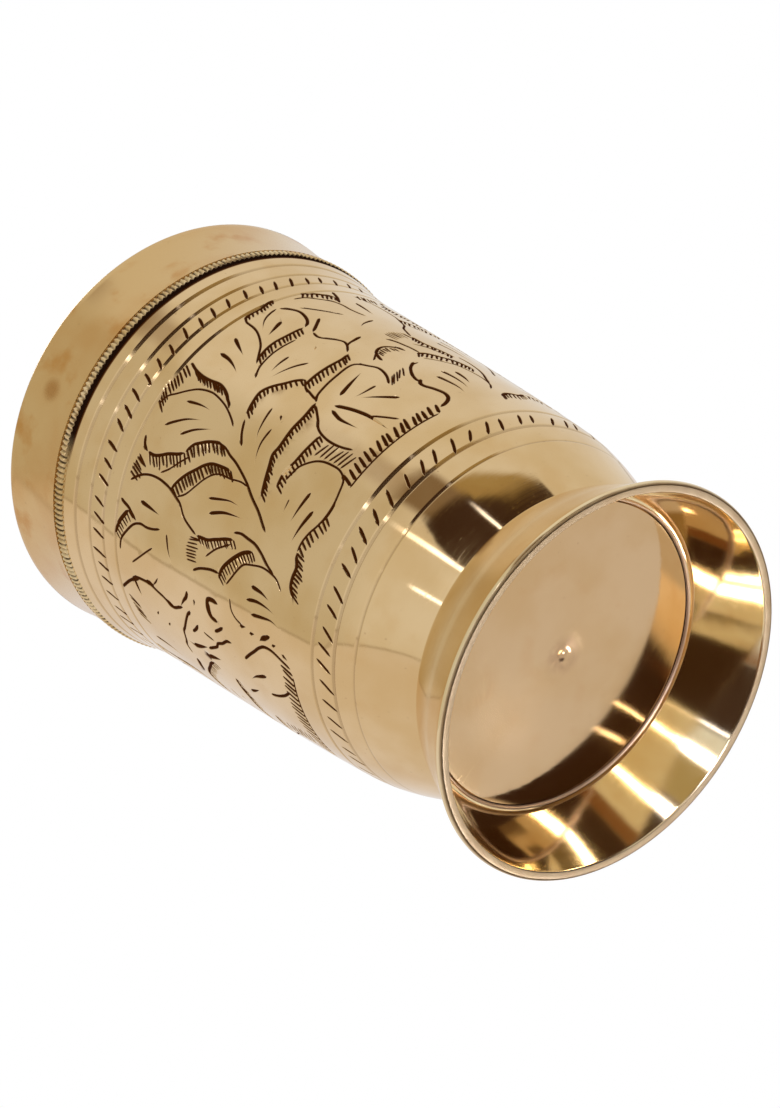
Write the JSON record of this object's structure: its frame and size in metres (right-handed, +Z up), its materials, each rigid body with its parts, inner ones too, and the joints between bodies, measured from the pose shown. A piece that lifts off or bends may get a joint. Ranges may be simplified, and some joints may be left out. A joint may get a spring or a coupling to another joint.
{
  "type": "brass tumbler",
  "caption": "Footed brass drinking tumbler: an engraved tapering barrel with a plain mouth band, a milled bead, a recessed base and a flared foot.",
  "frame": {"origin": "on the table, under the middle of the foot", "axes": "+Z up along the axis of the tumbler, from foot to mouth; -Y is the side that the picture shows"},
  "size_m": [0.0758, 0.0758, 0.115],
  "materials": {
    "engraved_brass": "buffed, with dark hand-cut engraving",
    "band_brass": "buffed, with faint warm tarnish",
    "milled_brass": "milled, dark in the notches",
    "disc_brass": "turned and buffed",
    "foot_brass": "polished",
    "solder": "brazing metal, wiped smooth"
  },
  "bodies": {
    "root": {"body_wall": "engraved_brass", "lip_band": "band_brass", "milled_bead": "milled_brass", "base_disc": "disc_brass", "foot_ring": "foot_brass", "base_solder": "solder"}
  },
  "joints": []
}
